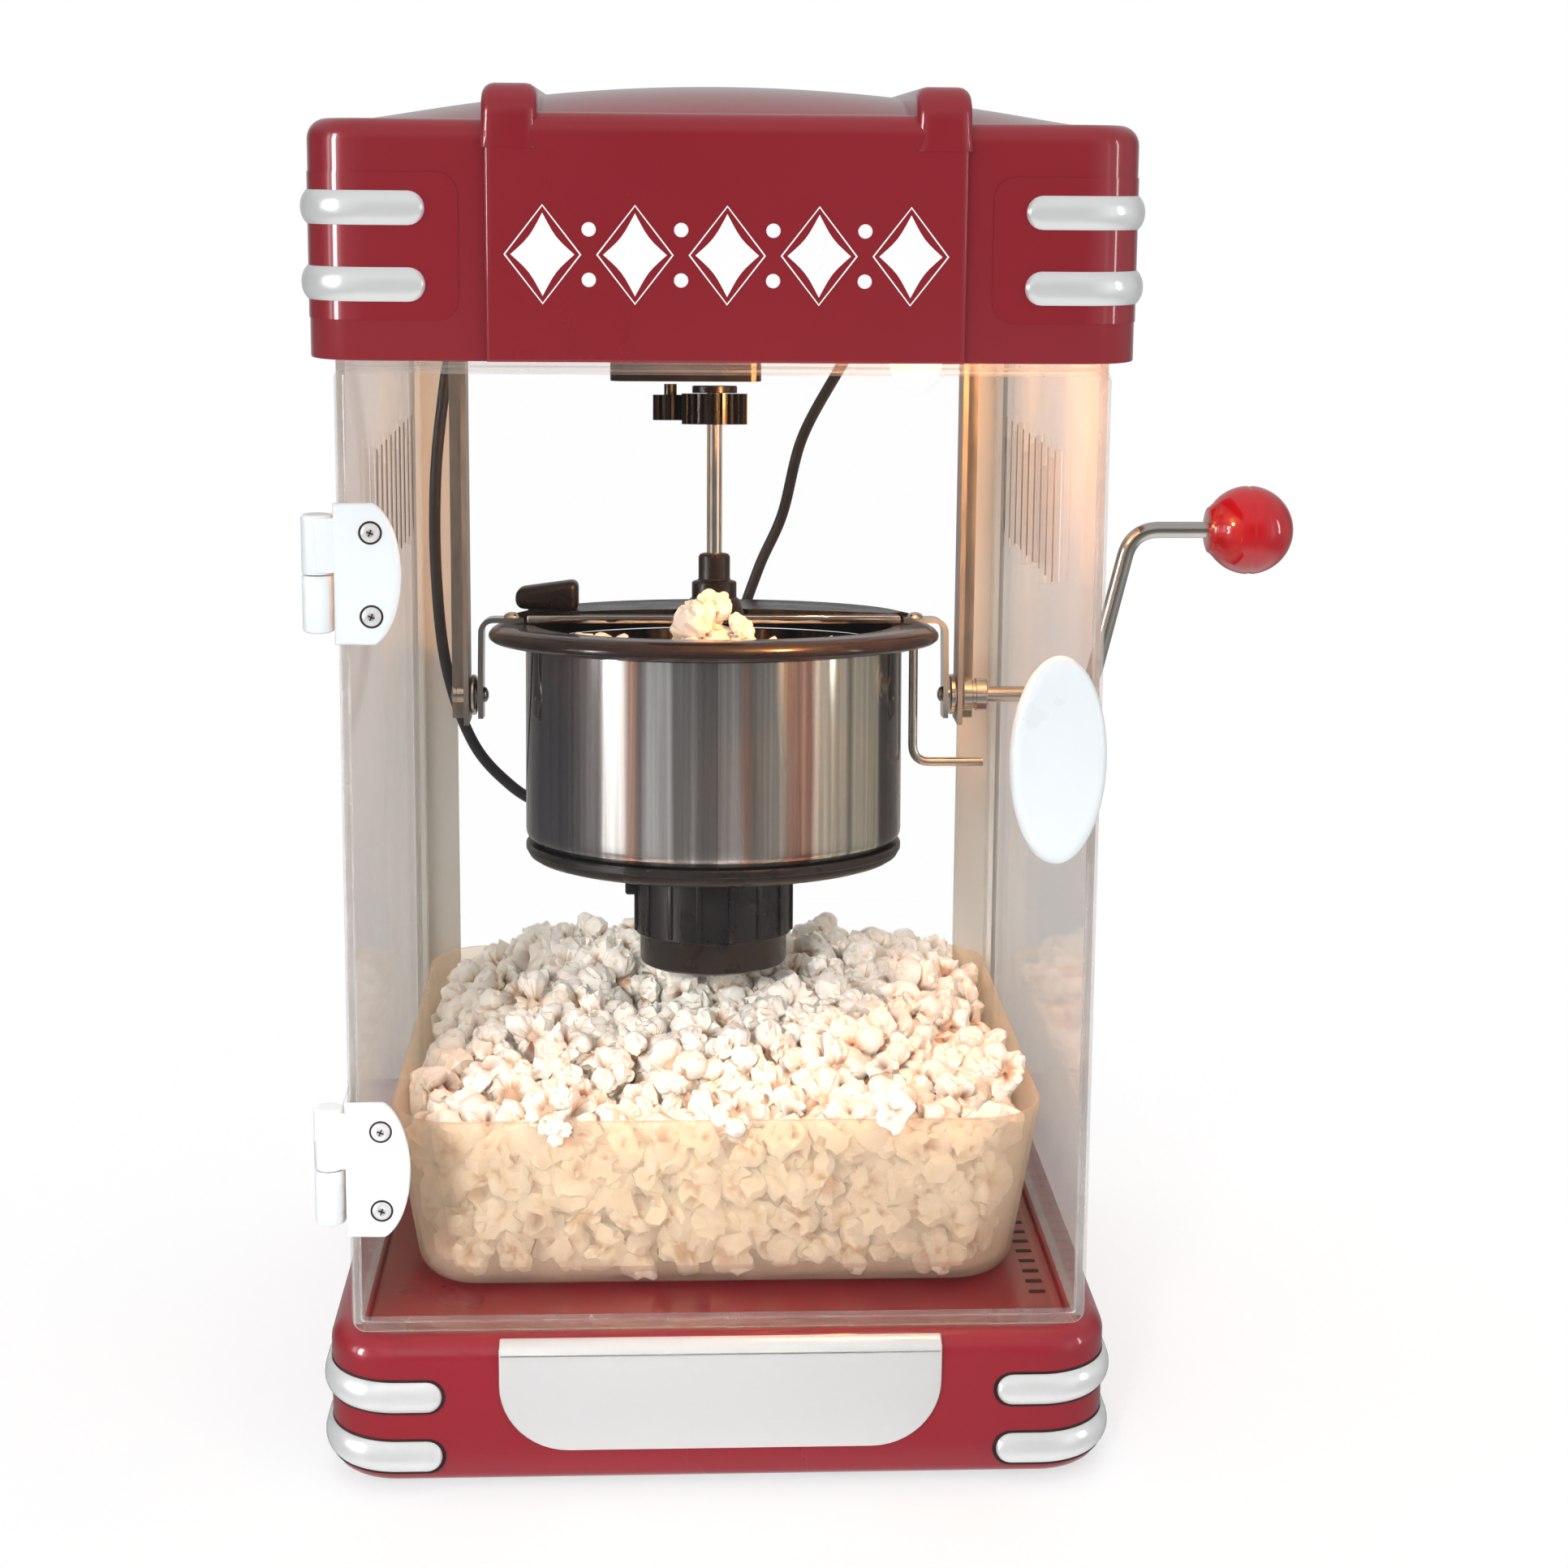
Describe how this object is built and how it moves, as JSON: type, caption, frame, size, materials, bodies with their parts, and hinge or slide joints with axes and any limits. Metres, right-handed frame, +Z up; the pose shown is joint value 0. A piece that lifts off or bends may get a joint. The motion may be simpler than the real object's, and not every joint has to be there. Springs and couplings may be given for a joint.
{
  "type": "popcorn maker",
  "caption": "Retro table-top popcorn maker: domed header, clear hinged door, tilting kettle with crank, driven stirrer, warming lamp and a popcorn tub on a rounded base.",
  "frame": {"origin": "centre of the whole object's box, at the level of the feet's undersides", "axes": "+Z up, -Y towards the door (front), +X towards the crank"},
  "size_m": [0.368, 0.2942, 0.4835],
  "materials": {
    "red_shell": "gloss",
    "satin_silver": "satin",
    "grey_steel": "satin",
    "clear_plastic": "clear",
    "frosted_plastic": "frosted",
    "white_plastic": "gloss",
    "polished_steel": "polished",
    "black_plastic": "satin",
    "black_rubber": "matte",
    "knob_red": "gloss",
    "warm_bulb": "clear"
  },
  "bodies": {
    "root": {"base_shell": "red_shell", "base_trim_left_lower": "satin_silver", "base_trim_left_upper": "satin_silver", "base_trim_right_lower": "satin_silver", "base_trim_right_upper": "satin_silver", "bottom_plate": "black_plastic", "ceiling_plate": "grey_steel", "cord_gland": "black_plastic", "crank_bush": "white_plastic", "fixed_hinge_leaf_lower": "white_plastic", "fixed_hinge_leaf_upper": "white_plastic", "foot_front_left": "black_rubber", "foot_front_right": "black_rubber", "foot_rear_left": "black_rubber", "foot_rear_right": "black_rubber", "gearbox": "black_plastic", "hanger_left": "grey_steel", "hanger_right": "grey_steel", "header_shell": "red_shell", "header_trim_left_lower": "satin_silver", "header_trim_left_upper": "satin_silver", "header_trim_right_lower": "satin_silver", "header_trim_right_upper": "satin_silver", "lamp_bulb": "warm_bulb", "lamp_socket": "white_plastic", "lead_left": "black_rubber", "lead_rear": "black_rubber", "motor": "grey_steel", "nameplate": "satin_silver", "popcorn_tub": "frosted_plastic", "rear_post_left": "grey_steel", "rear_post_right": "grey_steel", "side_window_left": "clear_plastic", "side_window_right": "clear_plastic"},
    "door": {"door_handle": "white_plastic", "door_hinge_leaf_lower": "white_plastic", "door_hinge_leaf_upper": "white_plastic", "door_panel": "clear_plastic", "hinge_screw_lower_bottom": "polished_steel", "hinge_screw_lower_top": "polished_steel", "hinge_screw_upper_bottom": "polished_steel", "hinge_screw_upper_top": "polished_steel"},
    "kettle": {"kettle_pot": "polished_steel", "kettle_rim": "black_plastic", "kettle_base_ring": "black_plastic", "heater_housing": "black_plastic", "lid_crossbar": "black_plastic", "strap_left": "polished_steel", "strap_right": "polished_steel", "trunnion_left": "polished_steel", "crank_rod": "polished_steel", "crank_collar": "polished_steel", "crank_knob": "knob_red", "stop_rod": "polished_steel"},
    "lid": {"lid_rear": "black_plastic"},
    "stirrer": {"stirrer": "polished_steel", "stir_gear": "black_plastic"},
    "pinion": {"drive_pinion": "black_plastic"},
    "switch": {"power_switch": "black_plastic"}
  },
  "joints": [
    {"name": "door_hinge", "type": "hinge", "parent": "root", "child": "door", "pos_m": [-0.17865, -0.13065, 0.2225], "axis": [0, 0, -1], "range_deg": [0, 110]},
    {"name": "kettle_tilt", "type": "hinge", "parent": "root", "child": "kettle", "pos_m": [-0.04435, 0.02235, 0.2495], "axis": [1, 0, 0], "range_deg": [0, 80], "deforming": ["lead_rear", "lead_left"]},
    {"name": "lid_flap", "type": "hinge", "parent": "kettle", "child": "lid", "pos_m": [-0.04435, 0.03306, 0.28018], "axis": [1, 0, 0], "range_deg": [0, 70]},
    {"name": "stirrer_spin", "type": "hinge", "parent": "kettle", "child": "stirrer", "pos_m": [-0.04435, 0.03211, 0.36107], "axis": [0, 0.0872, 0.9962], "continuous": true},
    {"name": "pinion_spin", "type": "hinge", "parent": "root", "child": "pinion", "pos_m": [-0.06163, 0.03924, 0.36045], "axis": [0, 0.0872, 0.9962], "continuous": true},
    {"name": "switch_rocker", "type": "hinge", "parent": "root", "child": "switch", "pos_m": [-0.10635, 0.13585, 0.4325], "axis": [1, 0, 0], "range_deg": [0, 14]}
  ],
  "couplings": [
    {"joint": "pinion_spin", "follows": "stirrer_spin", "ratio": -2}
  ]
}
